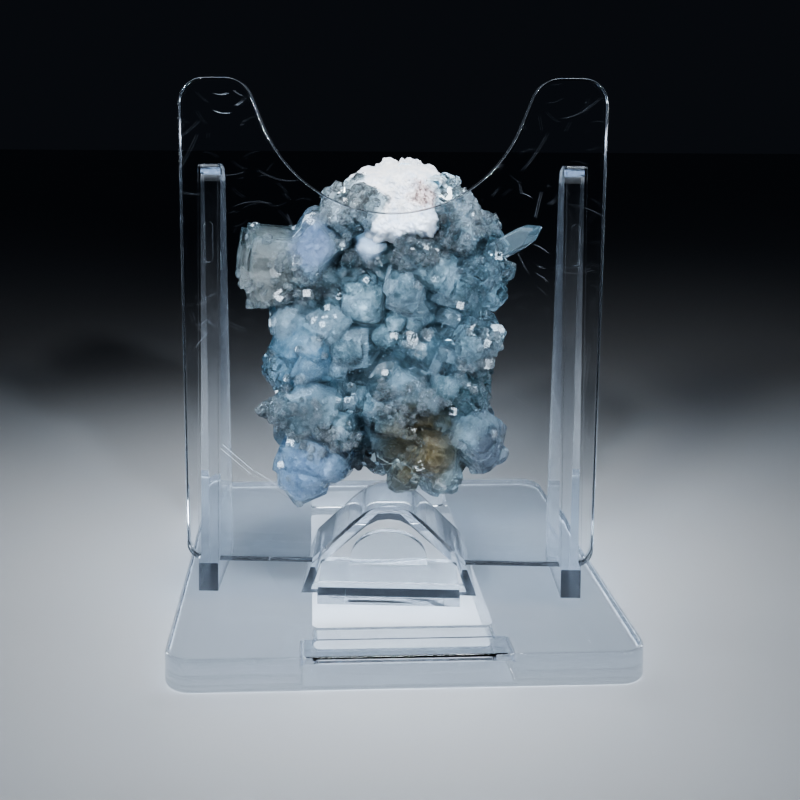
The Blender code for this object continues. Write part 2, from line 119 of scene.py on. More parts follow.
# Outline seen from the front, X and Z in millimetres
OUTLINE = [
    (2.6, 66.7), (7.6, 65.6), (12.2, 62.6), (15.2, 58.6), (18.2, 54.6), (19.8, 50.0),
    (19.0, 46.4), (16.6, 43.2), (17.6, 39.8), (15.4, 36.6), (16.4, 33.2), (15.4, 29.6),
    (18.2, 26.6), (18.4, 22.2), (15.0, 19.6), (11.0, 17.6), (7.6, 15.2), (1.0, 17.2),
    (-4.0, 17.6), (-9.4, 16.0), (-13.8, 13.8), (-17.0, 16.8), (-18.2, 22.4), (-18.8, 27.6),
    (-19.2, 31.4), (-20.4, 35.2), (-19.2, 39.0), (-18.6, 42.4), (-21.6, 46.4), (-21.8, 51.6),
    (-19.6, 55.4), (-15.0, 57.8), (-11.2, 61.4), (-6.6, 64.4), (-2.0, 66.0),
]


class Value:
    """An output of a node; a number among them can be used in sums."""

    def __init__(self, tree, socket):
        self.tree = tree
        self.socket = socket

    def also(self, name):
        """Another output of the same node."""
        return Value(self.tree, self.socket.node.outputs[name])

    def sum(self, operation, *others, clamp=False):
        return add_node(self.tree, "ShaderNodeMath", {"operation": operation, "use_clamp": clamp},
                        dict(enumerate((self, *others))))

    def __add__(self, other):
        return self.sum("ADD", other)

    def __sub__(self, other):
        return self.sum("SUBTRACT", other)

    def __mul__(self, other):
        return self.sum("MULTIPLY", other)

    __radd__ = __add__
    __rmul__ = __mul__

    def __rsub__(self, other):
        return self * -1.0 + other

    def at_least(self, other):
        return self.sum("MAXIMUM", other)

    def held(self):
        """This number kept between nought and one."""
        return self.sum("ADD", 0.0, clamp=True)

    def stepped(self, low, high):
        """Smooth step from nought to one as this number runs from low to high."""
        return add_node(self.tree, "ShaderNodeMapRange", {"interpolation_type": "SMOOTHSTEP"}, {
            "Value": self, "From Min": low, "From Max": high, "To Min": 0.0, "To Max": 1.0})


def add_node(tree, kind, settings=None, values=None, out=0):
    """Any node: its settings first, then its sockets by name or number; gives one output."""
    node = tree.nodes.new(kind)
    for name, setting in (settings or {}).items():
        if name == "stops":
            set_stops(node.color_ramp, setting)
        else:
            setattr(node, name, setting)
    for name, item in (values or {}).items():
        if isinstance(item, Value):
            tree.links.new(item.socket, node.inputs[name])
        else:
            node.inputs[name].default_value = item
    return Value(tree, node.outputs[out])


def set_stops(ramp, stops):
    while len(ramp.elements) < len(stops):
        ramp.elements.new(0.5)
    for element, (position, colour) in zip(ramp.elements, stops):
        element.position = position
        element.color = colour


class Finish:
    """A material under construction."""

    def __init__(self, name):
        self.material = bpy.data.materials.new(name)
        self.material.use_nodes = True
        self.tree = self.material.node_tree
        self.tree.nodes.clear()
        self.out = self.tree.nodes.new("ShaderNodeOutputMaterial")
        self.place = self.node("ShaderNodeTexCoord", out="Object")

    def node(self, kind, settings=None, values=None, out=0):
        return add_node(self.tree, kind, settings, values, out)

    def grain(self, scale, detail, rough, seed):
        return self.node("ShaderNodeTexNoise", {"noise_dimensions": "4D"},
                         {"Vector": self.place, "W": seed, "Scale": scale, "Detail": detail,
                          "Roughness": rough})

    def blend(self, factor, first, second):
        return self.node("ShaderNodeMix", {"data_type": "RGBA"}, {0: factor, 6: first, 7: second}, 2)

    def bump(self, height, strength, distance):
        return self.node("ShaderNodeBump", None,
                         {"Height": height, "Strength": strength, "Distance": distance})

    def mixed(self, factor, first, second):
        return self.node("ShaderNodeMixShader", None, {0: factor, 1: first, 2: second})

    def principled(self, **values):
        return self.node("ShaderNodeBsdfPrincipled", None,
                         {name.replace("_", " "): item for name, item in values.items()})

    def close(self, shader, volume=None):
        self.tree.links.new(shader.socket, self.out.inputs["Surface"])
        if volume:
            self.tree.links.new(volume.socket, self.out.inputs["Volume"])
        return self.material

    def spot(self, x, z, radius_x, radius_z, wobble=None):
        """Soft spot seen from the front: one in its middle, nothing past its rim; millimetres."""
        flat = self.node("ShaderNodeVectorMath", {"operation": "MULTIPLY_ADD"}, {
            0: self.place, 1: (1000.0 / radius_x, 0.0, 1000.0 / radius_z),
            2: (-x / radius_x, 0.0, -z / radius_z)})
        away = self.node("ShaderNodeVectorMath", {"operation": "LENGTH"}, {0: flat}, "Value")
        if wobble:
            away = away + wobble
        return away.stepped(1.0, 0.35)

    def scratch(self, start, end, width):
        """Thin straight mark from one X and Z point to another; millimetres."""
        run = Vector(end) - Vector(start)
        axis = run.normalized()
        local = self.node("ShaderNodeVectorMath", {"operation": "SUBTRACT"},
                          {0: self.place, 1: (start[0] * MM, 0.0, start[1] * MM)})
        along = self.node("ShaderNodeVectorMath", {"operation": "DOT_PRODUCT"},
                          {0: local, 1: (axis.x, 0.0, axis.y)}, "Value")
        across = self.node("ShaderNodeVectorMath", {"operation": "DOT_PRODUCT"},
                           {0: local, 1: (-axis.y, 0.0, axis.x)}, "Value")
        side = across.sum("ABSOLUTE").stepped(width * MM, width * 0.3 * MM)
        past = (along - run.length * MM / 2).sum("ABSOLUTE")
        ends = past.stepped(run.length * MM / 2, run.length * MM / 2 * 0.8)
        return side * ends


def scuffs(finish, cell, width, share, seed):
    """Short bent scratches at random slants, about one to each cell; cell and width in millimetres."""
    flat = finish.node("ShaderNodeVectorMath", {"operation": "MULTIPLY_ADD"}, {
        0: finish.place, 1: (1000.0 / cell, 0.0, 1000.0 / cell), 2: (seed, 0.0, seed * 0.37)})
    nearest = finish.node("ShaderNodeTexVoronoi", {"voronoi_dimensions": "3D"}, {
        "Vector": flat, "Scale": 1.0, "Randomness": 1.0}, "Color")
    local = finish.node("ShaderNodeVectorMath", {"operation": "SUBTRACT"},
                        {0: flat, 1: nearest.also("Position")})
    chance = finish.node("ShaderNodeSeparateXYZ", None, {"Vector": nearest})
    side_x = finish.node("ShaderNodeSeparateXYZ", None, {"Vector": local})
    side_z = side_x.also("Z")
    full_turn = 6.283
    slant = chance * full_turn
    bend = side_x * side_x * 0.5
    across = side_x * slant.sum("COSINE") + side_z * slant.sum("SINE") + bend
    along = (side_z * slant.sum("COSINE") - side_x * slant.sum("SINE")).sum("ABSOLUTE")
    line = across.sum("ABSOLUTE").stepped(width / cell, width / cell * 0.3)
    return line * along.stepped(0.5, 0.3) * chance.also("Y").stepped(1.0 - share, 1.02 - share)


def lets_lamps_through(finish, shader, tint):
    """Clear shader whose shadows are a pale tint, as thin clear walls give."""
    shadow = finish.node("ShaderNodeLightPath", out="Is Shadow Ray")
    open_way = finish.node("ShaderNodeBsdfTransparent", None, {"Color": tint})
    return finish.mixed(shadow, shader, open_way)


def clear_moulding(name, tint, marks):
    """Clear styrene with fine scratches, worn spots and slightly hazy rims."""
    finish = Finish(name)
    worn = 0.04
    for x, z, wide, high, amount in marks:
        worn = worn + finish.spot(x, z, wide, high) * amount
    wear = scuffs(finish, 7.0, 0.045, 0.45, 3.0) * 0.20 * (worn + 0.3)
    wear = wear + scuffs(finish, 2.6, 0.04, 0.5, 11.0) * worn * 0.6
    scratches = [((-24.4, 25.6), (-19.4, 21.4), 0.10, 0.35), ((-19.6, 21.7), (-13.6, 17.8), 0.08, 0.25)]
    for start, end, width, depth in scratches:
        wear = wear + finish.scratch(start, end, width) * depth
    rim = finish.node("ShaderNodeAttribute", {"attribute_name": "rim"}, None, "Fac")
    wear = (wear + rim * 0.05).held()
    glass = finish.principled(Base_Color=(*tint, 1.0), Roughness=0.0, IOR=STYRENE_IOR,
                              Transmission_Weight=1.0)
    haze = finish.principled(Base_Color=(0.80, 0.88, 1.0, 1.0), Roughness=0.45, IOR=STYRENE_IOR)
    shader = finish.mixed(wear, glass, haze)
    shader = lets_lamps_through(finish, shader, (0.93, 0.95, 0.97, 1.0))
    inside = finish.node("ShaderNodeVolumeAbsorption", None,
                         {"Color": (0.55, 0.72, 0.95, 1.0), "Density": 12.0})
    return finish.close(shader, inside)


# Colour zones and painted-shade zones of the cluster seen from the front: x, z, half width and half
# height of their spots
ZONES = {
    "patch_tail": [(-3.2, 55.4, 3.0, 4.6)],
    "blue": [(-13.6, 37.6, 8.6, 7.6)],
    "beige": [(-18.4, 50.6, 6.6, 8.0)],
    "lilac": [(-11.4, 54.2, 4.2, 5.6)],
    "ochre": [(4.6, 23.4, 7.8, 8.8)],
    "teal": [(11.2, 32.0, 6.0, 4.6)],
    "lobe": [(-12.4, 19.4, 8.4, 8.0)],
    # painted shade: the lower right, away from the lamps, is darkened
    "lower_right_shade": [(15.4, 24.0, 5.6, 6.0)],
    # painted shade: the crease between the lower lobes is darkened
    "crease_shade": [(-4.4, 22.4, 2.8, 7.6)],
    # painted shade: the cleft in the upper middle is darkened
    "cleft_shade": [(-0.6, 49.0, 2.6, 8.0)],
    "frost": [(-7.6, 61.4, 6.4, 5.4), (12.4, 59.4, 4.6, 4.6)],
}


def zones(finish, names):
    """The colour zones asked for, each one in its middle and nothing past its wobbly rim."""
    wobble = (finish.grain(160.0, 2.0, 0.6, seed=11.0) - 0.5) * 0.9
    found = {}
    for name in names:
        whole, *others = [finish.spot(*spot, wobble) for spot in ZONES[name]]
        for other in others:
            whole = whole.at_least(other)
        found[name] = whole
    return found


def zone_colour(finish, colour, found, shades):
    """A colour turned to each zone's shade in that zone, by so much."""
    for name, shade, amount in shades:
        colour = finish.blend((found[name] * amount).held(), colour, (*shade, 1.0))
    return colour


def milky_core():
    """Cloudy inner growth seen through the clear crystal faces."""
    finish = Finish("milky_core")
    found = zones(finish, ZONES)
    cloud = finish.grain(210.0, 4.0, 0.66, seed=1.0)
    fine = finish.grain(1100.0, 2.0, 0.6, seed=2.0)
    deep = finish.node("ShaderNodeAttribute", {"attribute_name": "deep"}, None, "Fac")
    ground = finish.node("ShaderNodeValToRGB", {"stops": [
        (0.34, (0.014, 0.023, 0.029, 1.0)), (0.48, (0.070, 0.098, 0.112, 1.0)),
        (0.60, (0.18, 0.225, 0.245, 1.0)), (0.76, (0.60, 0.66, 0.70, 1.0))]},
        {"Fac": cloud - deep * 0.05})
    # painted shade: lower_right_shade darkens the lower right to a dark grey
    colour = zone_colour(finish, ground, found, [
        ("blue", (0.095, 0.175, 0.24), 0.7), ("beige", (0.20, 0.19, 0.175), 0.7),
        ("lilac", (0.09, 0.12, 0.19), 0.85), ("ochre", (0.11, 0.078, 0.034), 1.0),
        ("teal", (0.03, 0.075, 0.08), 0.65), ("lobe", (0.13, 0.19, 0.29), 0.75),
        # painted shade: crease_shade darkens the crease nearly to black
        ("lower_right_shade", (0.06, 0.065, 0.085), 0.85), ("crease_shade", (0.018, 0.040, 0.052), 0.9),
        # painted shade: cleft_shade darkens the cleft
        ("cleft_shade", (0.025, 0.05, 0.06), 0.6), ("patch_tail", (0.46, 0.56, 0.68), 0.8),
        ("frost", (0.70, 0.78, 0.84), 0.85)])
    speck = finish.grain(2400.0, 1.0, 0.5, seed=6.0).stepped(0.64, 0.74)
    colour = finish.blend(speck * 0.5, colour, (0.62, 0.70, 0.74, 1.0))
    normal = finish.bump(fine, 0.7, 0.3 * MM)
    shader = finish.principled(
        Base_Color=colour, Roughness=0.30, IOR=1.5, Normal=normal, Subsurface_Weight=0.25,
        Subsurface_Radius=(0.9, 1.0, 1.1), Subsurface_Scale=0.8 * MM)
    return finish.close(shader)


def clear_crystal():
    """Vitreous apophyllite: see-through, striped along its growth, with milky veils."""
    finish = Finish("clear_crystal")
    found = zones(finish, ("blue", "beige", "lilac", "ochre", "lobe", "lower_right_shade", "crease_shade", "frost"))
    veil = finish.grain(330.0, 2.0, 0.62, seed=5.0).stepped(0.46, 0.72)
    lines = finish.node("ShaderNodeMapping", None, {
        "Vector": finish.node("ShaderNodeUVMap", {"uv_map": "growth"}), "Scale": (3.4, 0.22, 1.0)})
    growth = finish.node("ShaderNodeTexNoise", {"noise_dimensions": "2D"}, {
        "Vector": lines, "Scale": 1.0, "Detail": 2.0, "Roughness": 0.6})
    normal = finish.bump(growth, 0.30, 0.008 * MM)
    tone = finish.node("ShaderNodeSeparateXYZ", None, {
        "Vector": finish.node("ShaderNodeUVMap", {"uv_map": "tone"})})
    tint = finish.blend(tone, (0.90, 0.96, 0.96, 1.0), (0.82, 0.91, 0.94, 1.0))
    tint = zone_colour(finish, tint, found, [
        ("blue", (0.70, 0.84, 0.93), 0.8), ("beige", (0.88, 0.83, 0.78), 0.6),
        ("ochre", (0.74, 0.62, 0.42), 0.8), ("lobe", (0.84, 0.91, 1.0), 0.6)])
    glass = finish.principled(Base_Color=tint, Roughness=0.03, IOR=CRYSTAL_IOR,
                              Transmission_Weight=1.0, Normal=normal)
    milk = finish.blend(tone, (0.27, 0.36, 0.40, 1.0), (0.36, 0.45, 0.51, 1.0))
    milk = zone_colour(finish, milk, found, [
        ("beige", (0.33, 0.31, 0.28), 0.8), ("ochre", (0.20, 0.15, 0.08), 0.8),
        ("lilac", (0.24, 0.28, 0.40), 0.8), ("lobe", (0.26, 0.35, 0.50), 0.6),
        # painted shade: lower_right_shade makes the milky part there a darker grey
        ("lower_right_shade", (0.15, 0.155, 0.19), 0.8), ("frost", (0.62, 0.70, 0.76), 0.8)])
    cloud = finish.principled(Base_Color=milk, Roughness=0.22, IOR=1.5, Normal=normal)
    # painted shade: lower_right_shade also gives that zone more of the darker milk
    share = veil * 0.12 + tone * tone * 0.22 + found["lobe"] * 0.10 + found["lower_right_shade"] * 0.08 + 0.02
    # painted shade: crease_shade takes the milk away, so the crease shows darker clear glass
    share = (share + found["lilac"] * 0.20 + found["blue"] * 0.12 + found["beige"] * 0.10
             + found["frost"] * 0.30 - found["crease_shade"] * 0.3).held()
    shader = finish.mixed(share, glass, cloud)
    shader = lets_lamps_through(finish, shader, (0.74, 0.82, 0.86, 1.0))
    inside = finish.node("ShaderNodeVolumeAbsorption", None,
                         {"Color": (0.54, 0.70, 0.77, 1.0), "Density": 120.0})
    return finish.close(shader, inside)


def sugar_crystal():
    """Tiny clear crystals that glint."""
    finish = Finish("sugar_crystal")
    return finish.close(finish.principled(Base_Color=(0.90, 0.95, 0.98, 1.0), Roughness=0.02,
                                          IOR=CRYSTAL_IOR, Transmission_Weight=0.93))


def chalky_crust():
    """White powdery matrix with a few brownish pits."""
    finish = Finish("chalky_crust")
    cloud = finish.grain(420.0, 4.0, 0.65, seed=1.0)
    colour = finish.blend(cloud.stepped(0.35, 0.62), (0.70, 0.76, 0.86, 1.0), (0.97, 0.97, 0.99, 1.0))
    wobble = (finish.grain(700.0, 3.0, 0.6, seed=4.0) - 0.5) * 1.6
    pits = finish.spot(5.2, 61.6, 3.6, 2.4, wobble)
    mottle = finish.grain(1500.0, 3.0, 0.7, seed=9.0).stepped(0.42, 0.62)
    colour = finish.blend(pits * 0.55, colour, (0.60, 0.42, 0.40, 1.0))
    colour = finish.blend(pits * mottle * 0.9, colour, (0.10, 0.06, 0.055, 1.0))
    normal = finish.bump(finish.grain(2600.0, 3.0, 0.65, seed=2.0), 0.7, 0.16 * MM)
    return finish.close(finish.principled(Base_Color=colour, Roughness=0.75, Normal=normal,
                                          Subsurface_Weight=0.2, Subsurface_Radius=(1.0, 1.0, 1.0),
                                          Subsurface_Scale=0.4 * MM))


def pale_floor():
    finish = Finish("pale_floor")
    tone = finish.grain(6.0, 2.0, 0.5, seed=1.0)
    colour = finish.blend(tone, (0.50, 0.51, 0.53, 1.0), (0.55, 0.56, 0.58, 1.0))
    return finish.close(finish.principled(Base_Color=colour, Roughness=0.55))


def object_from(name, shape, material=None):
    mesh = bpy.data.meshes.new(name)
    shape.to_mesh(mesh)
    shape.free()
    item = bpy.data.objects.new(name, mesh)
    bpy.context.scene.collection.objects.link(item)
    if material:
        mesh.materials.append(material)
    return item


def edge_reach(corners, middle, angle):
    """Distance from a middle to an outline in one direction, all in one flat unit."""
    ray = Vector((math.cos(angle), math.sin(angle)))
    best = 0.0
    for i, corner in enumerate(corners):
        a = Vector(corner) - Vector(middle)
        edge = Vector(corners[(i + 1) % len(corners)]) - Vector(corner)
        across = ray.x * edge.y - ray.y * edge.x
        if abs(across) < 1e-9:
            continue
        along = (a.x * edge.y - a.y * edge.x) / across
        share = (a.x * ray.y - a.y * ray.x) / across
        if along > 0.0 and 0.0 <= share <= 1.0:
            best = max(best, along)
    return best


MIDDLE = (CENTRE.x / MM, CENTRE.z / MM)
STEPS = 720
REACHES = [edge_reach(OUTLINE, MIDDLE, 2.0 * math.pi * i / STEPS) for i in range(STEPS)]


def reach(angle):
    """Distance from the cluster's middle to its outline, read between two of the steps."""
    place = (angle / (2.0 * math.pi) * STEPS) % STEPS
    low = int(place)
    part = place - low
    return REACHES[low % STEPS] * (1.0 - part) + REACHES[(low + 1) % STEPS] * part


def envelope(angle, lift, inset):
    """Point of the cluster's outer form; lift runs from the front pole to the back pole."""
    depth = (FRONT_DEPTH if lift < 0.0 else BACK_DEPTH) - inset
    spread = max(0.0, math.cos(lift)) ** 0.5
    level = math.copysign(abs(math.sin(lift)) ** 1.15, lift)
    out = max(reach(angle) - inset, 1.0) * spread
    return CENTRE + Vector((out * math.cos(angle), depth * level, out * math.sin(angle))) * MM


def envelope_normal(angle, lift, inset):
    step = 0.04
    a = envelope(angle + step, lift, inset) - envelope(angle - step, lift, inset)
    b = envelope(angle, lift + step, inset) - envelope(angle, lift - step, inset)
    normal = a.cross(b)
    if normal.length < 1e-14:
        return Vector((0.0, math.copysign(1.0, lift), 0.0))
    normal.normalize()
    return normal if normal.dot(envelope(angle, lift, inset) - CENTRE) > 0.0 else -normal


def crystal_planes(half, length, tip_share, flat):
    """Faces of a square prism with four pyramid faces over its edges and a flat end."""
    rise = length * tip_share
    planes = [(Vector(n), half) for n in ((1, 0, 0), (-1, 0, 0), (0, 1, 0), (0, -1, 0))]
    planes += [(Vector((0, 0, 1)), -flat * rise), (Vector((0, 0, -1)), length)]
    for sx, sy in ((1, 1), (1, -1), (-1, 1), (-1, -1)):
        normal = Vector((sx * rise, sy * rise, 2.0 * half)).normalized()
        planes.append((normal, 0.0))
    return planes


def corners_of(planes):
    """Where three of the planes meet, inside all the others."""
    corners = []
    for i in range(len(planes)):
        for j in range(i + 1, len(planes)):
            for k in range(j + 1, len(planes)):
                rows = Matrix((planes[i][0], planes[j][0], planes[k][0]))
                if abs(rows.determinant()) < 1e-6:
                    continue
                point = rows.inverted() @ Vector((planes[i][1], planes[j][1], planes[k][1]))
                if all(n.dot(point) <= d + 1e-7 for n, d in planes):
                    if all((point - c).length > 2e-6 for c in corners):
                        corners.append(point)
    return corners


def standing_on(axis, spin):
    """Turn that stands a crystal on its axis."""
    side = axis.orthogonal().normalized()
    other = axis.cross(side).normalized()
    turn = Matrix.Rotation(spin, 3, axis)
    return Matrix((turn @ side, turn @ other, axis)).transposed()


class Crystal:
    """One crystal, placed by its tip; it grows back from there into the cluster."""

    def __init__(self, tip, axis, half, length, tip_share=0.4, flat=0.2, spin=0.0, core=0.7, tone=0.5):
        self.tip = tip
        self.half = half
        self.length = length
        self.rise = length * tip_share
        self.core = core
        self.tone = tone
        self.chamfered = False
        self.turn = standing_on(axis.normalized(), spin)
        self.planes = crystal_planes(half, length, tip_share, flat)
        self.corners = corners_of(self.planes)

    def offshoot(self, across, lift, share, tone):
        """Smaller crystal on the same axes, standing a little out of this one's end."""
        drop = (abs(across.x) + abs(across.y)) * self.rise / (2.0 * self.half)
        tip = self.tip + self.turn @ Vector((across.x, across.y, lift - drop))
        twin = Crystal(tip, self.turn.col[2], self.half * share, self.length * 0.7,
                       self.rise / self.length * share, 0.2, 0.0, 0.0, tone)
        twin.turn = self.turn
        return twin

    def solid(self, size=1.0):
        """Mesh of the crystal, or of a smaller one inside it."""
        middle = Vector((0.0, 0.0, -self.length * 0.75))
        solid = bmesh.new()
        for corner in self.corners:
            solid.verts.new(self.tip + self.turn @ (middle + (corner - middle) * size))
        bmesh.ops.convex_hull(solid, input=list(solid.verts))
        bmesh.ops.dissolve_limit(solid, angle_limit=math.radians(0.5), verts=list(solid.verts),
                                 edges=list(solid.edges))
        return solid

    def faceted(self):
        """Crystal mapped along its axis for the growth lines, some with fine chamfers."""
        solid = self.solid()
        if self.chamfered:
            bmesh.ops.bevel(solid, geom=list(solid.edges), offset=CHAMFER, segments=1, affect="EDGES",
                            clamp_overlap=True)
        lines = solid.loops.layers.uv.new("growth")
        tone = solid.loops.layers.uv.new("tone")
        back = self.turn.transposed()
        for face in solid.faces:
            normal = back @ face.normal
            for loop in face.loops:
                local = back @ (loop.vert.co - self.tip) / MM
                across = local.x if abs(normal.y) > abs(normal.x) else local.y
                loop[lines].uv = (across, local.z)
                loop[tone].uv = (self.tone, 0.0)
        return solid

    def cloud(self):
        """Ragged milky growth inside the crystal."""
        middle = Vector((0.0, 0.0, -self.length * 0.6))
        solid = bmesh.new()
        large = self.half > 2.3 * MM
        bmesh.ops.create_icosphere(solid, subdivisions=4 if large else 3, radius=1.0)
        room = min(0.26 * MM, self.half * (1.0 - self.core) * 0.6)
        for vertex in solid.verts:
            ray = vertex.co.normalized()
            far = min((d - n.dot(middle)) / n.dot(ray) for n, d in self.planes if n.dot(ray) > 1e-6)
            place = self.tip + self.turn @ (middle + ray * far * self.core)
            rough = noise.fractal(place / MM * 1.5, 0.6, 2.2, 4)
            vertex.co = place + self.turn @ ray * max(-2.0, min(0.9, rough)) * room
        return solid

    def placed(self):
        return [self.tip + self.turn @ corner for corner in self.corners]

    def holds(self, points, margin=0.0):
        """Which of an array of points lie inside."""
        local = (points - np.array(self.tip)) @ np.array(self.turn)
        inside = np.ones(len(points), bool)
        for normal, distance in self.planes:
            inside &= local @ np.array(normal) <= distance + margin
        return inside


def within(place, x, z, wide, high):
    """Whether a place lies in an upright ellipse seen from the front; millimetres."""
    return math.hypot((place.x / MM - x) / wide, (place.z / MM - z) / high) < 1.0


def stands_clear(points):
    """Which of an array of points the cluster may reach without touching the holder."""
    across, behind, height = np.abs(points[:, 0]), points[:, 1], points[:, 2]
    clear = (behind > FRONT_LIMIT) & (height > BASE_TOP + BASE_GAP)
    over_foot = behind < PLATE_FRONT + RIB_FOOT_DEPTH + RIB_FOOT_GAP
    clear &= ~(over_foot & (across > RIB_INNER - RIB_SIDE_GAP))
    hood_top = np.interp(across, HOOD_LINE[:, 0], HOOD_LINE[:, 1])
    over_hood = behind < PLATE_FRONT + HOOD_DEPTH + HOOD_GAP
    return clear & ~(over_hood & (height < hood_top + HOOD_GAP))


def front_crystals():
    """The crystals that can be told apart in front, placed by their tips."""
    # x, z, behind the plate, half width, length, axis, tip share, flat, spin, core
    rows = [
        (-22.2, 52.6, 4.2, 3.9, 9.5, (-0.95, -0.25, 0.1), 0.10, 0.5, 0.62, 0.8),
        (-21.8, 47.9, 3.6, 3.1, 8.5, (-0.95, -0.3, -0.12), 0.12, 0.5, 0.75, 0.75),
        (-17.4, 50.8, 1.0, 2.9, 7.5, (-0.45, -1.0, -0.05), 0.14, 0.6, 0.75, 0.6),
        (-11.4, 54.2, 0.6, 3.2, 6.5, (-0.22, -1.0, 0.05), 0.16, 0.8, 0.05, 0.75),
        (-14.2, 49.4, 0.8, 2.8, 6.0, (-0.35, -1.0, -0.3), 0.35, 0.4, 0.3, 0.6),
        (-15.6, 38.2, 0.7, 5.2, 8.0, (-0.5, -0.85, 0.02), 0.85, 0.04, 0.85, 0.8),
        (-18.6, 34.2, 3.0, 2.6, 6.0, (-0.9, -0.5, -0.2), 0.6, 0.1, 0.4, 0.5),
        (-9.6, 43.6, 0.8, 3.0, 6.0, (-0.3, -1.0, 0.35), 0.5, 0.15, 0.2, 0.75),
        (-4.4, 46.0, 0.6, 3.4, 6.5, (-0.15, -1.0, 0.1), 0.45, 0.3, 0.7, 0.8),
        (3.8, 40.0, 0.5, 2.9, 6.0, (-0.12, -1.0, 0.22), 0.35, 0.4, 0.35, 0.0),
        (2.2, 47.6, 0.7, 3.2, 6.5, (0.1, -1.0, 0.1), 0.5, 0.2, 0.5, 0.75),
        (7.6, 51.4, 0.9, 3.4, 7.0, (0.25, -1.0, 0.2), 0.55, 0.15, 0.2, 0.75),
        (11.4, 47.6, 1.0, 3.0, 6.0, (0.45, -0.9, -0.1), 0.4, 0.3, 0.55, 0.5),
        (15.4, 50.2, 1.8, 3.0, 7.0, (0.75, -0.7, 0.1), 0.45, 0.2, 0.2, 0.4),
        (22.6, 57.0, 5.6, 1.35, 10.5, (0.85, -0.1, 0.50), 0.38, 0.1, 0.4, 0.0),
        (12.6, 56.8, 1.6, 2.9, 6.5, (0.5, -0.8, 0.35), 0.4, 0.3, 0.5, 0.4),
        (12.9, 41.4, 0.9, 2.4, 5.5, (0.5, -0.9, 0.25), 0.4, 0.3, 0.1, 0.35),
        (13.2, 38.4, 0.7, 2.5, 5.5, (0.45, -1.0, -0.15), 0.5, 0.3, 0.75, 0.45),
        (17.0, 40.6, 3.4, 2.4, 6.5, (0.95, -0.35, 0.1), 0.5, 0.1, 0.5, 0.2),
        (-12.8, 29.6, 0.8, 4.2, 7.0, (-0.35, -1.0, 0.0), 0.4, 0.35, 0.4, 0.85),
        (-18.4, 29.6, 3.0, 2.2, 6.0, (-1.0, -0.4, 0.0), 0.45, 0.2, 0.3, 0.4),
        (-5.9, 31.9, 0.5, 2.1, 5.0, (-0.1, -1.0, 0.12), 0.3, 0.5, 0.65, 0.0),
        (2.0, 32.6, 0.7, 3.0, 6.0, (0.0, -1.0, 0.05), 0.45, 0.25, 0.3, 0.8),
        (9.2, 33.4, 0.8, 2.5, 5.5, (0.3, -1.0, 0.1), 0.55, 0.15, 0.6, 0.6),
        (13.6, 32.0, 1.6, 2.7, 6.5, (0.7, -0.8, 0.05), 0.6, 0.1, 0.2, 0.3),
        (3.0, 24.6, 0.6, 2.2, 5.5, (-0.1, -1.0, 0.2), 0.4, 0.3, 0.25, 0.0),
        (7.8, 22.0, 1.0, 3.0, 6.0, (0.3, -1.0, -0.25), 0.45, 0.25, 0.5, 0.8),
        (2.0, 18.4, 1.6, 2.0, 5.0, (-0.05, -0.9, -0.45), 0.45, 0.3, 0.35, 0.3),
        (8.6, 17.2, 3.0, 2.2, 5.5, (0.2, -0.6, -0.8), 0.5, 0.2, 0.6, 0.5),
        (15.6, 25.4, 1.6, 3.4, 7.0, (0.7, -0.75, -0.15), 0.3, 0.45, 0.3, 0.6),
        (16.4, 21.4, 3.4, 2.6, 6.0, (0.8, -0.4, -0.6), 0.4, 0.3, 0.1, 0.5),
        (-7.4, 25.8, 0.7, 2.5, 5.5, (-0.15, -1.0, 0.1), 0.35, 0.5, 0.15, 0.5),
        (-13.8, 22.4, 0.8, 3.8, 7.0, (-0.35, -0.95, 0.05), 0.5, 0.15, 0.5, 0.8),
        (-9.0, 20.0, 1.0, 3.2, 6.5, (0.1, -0.9, -0.35), 0.6, 0.1, 0.2, 0.8),
        (-13.8, 14.8, 3.4, 3.9, 8.5, (-0.25, -0.45, -0.95), 0.7, 0.06, 0.75, 0.8),
        (-16.6, 17.6, 3.4, 2.6, 6.5, (-0.8, -0.5, -0.6), 0.5, 0.1, 0.4, 0.6),
        (-5.0, 61.4, 1.4, 2.6, 6.0, (-0.4, -0.8, 0.5), 0.4, 0.3, 0.2, 0.4),
        (-9.6, 60.0, 2.6, 2.6, 6.0, (-0.6, -0.6, 0.6), 0.4, 0.3, 0.6, 0.4),
        (10.6, 61.8, 2.8, 2.3, 6.0, (0.55, -0.6, 0.6), 0.35, 0.4, 0.4, 0.2),
        (8.6, 64.4, 6.0, 2.2, 6.0, (0.35, -0.2, 0.95), 0.3, 0.5, 0.2, 0.0),
        (-17.6, 42.8, 3.0, 2.7, 6.5, (-0.8, -0.6, 0.1), 0.4, 0.2, 0.5, 0.5),
    ]
    chance = random.Random(3)
    crystals = []
    for x, z, behind, half, length, axis, tip_share, flat, spin, core in rows:
        tip = Vector((x * MM, PLATE_BACK + (FRONT_TIP_GAP + behind) * MM, z * MM))
        crystals.append(Crystal(tip, Vector(axis), half * MM, length * MM, tip_share, flat, spin, core,
                                chance.random()))
    return crystals


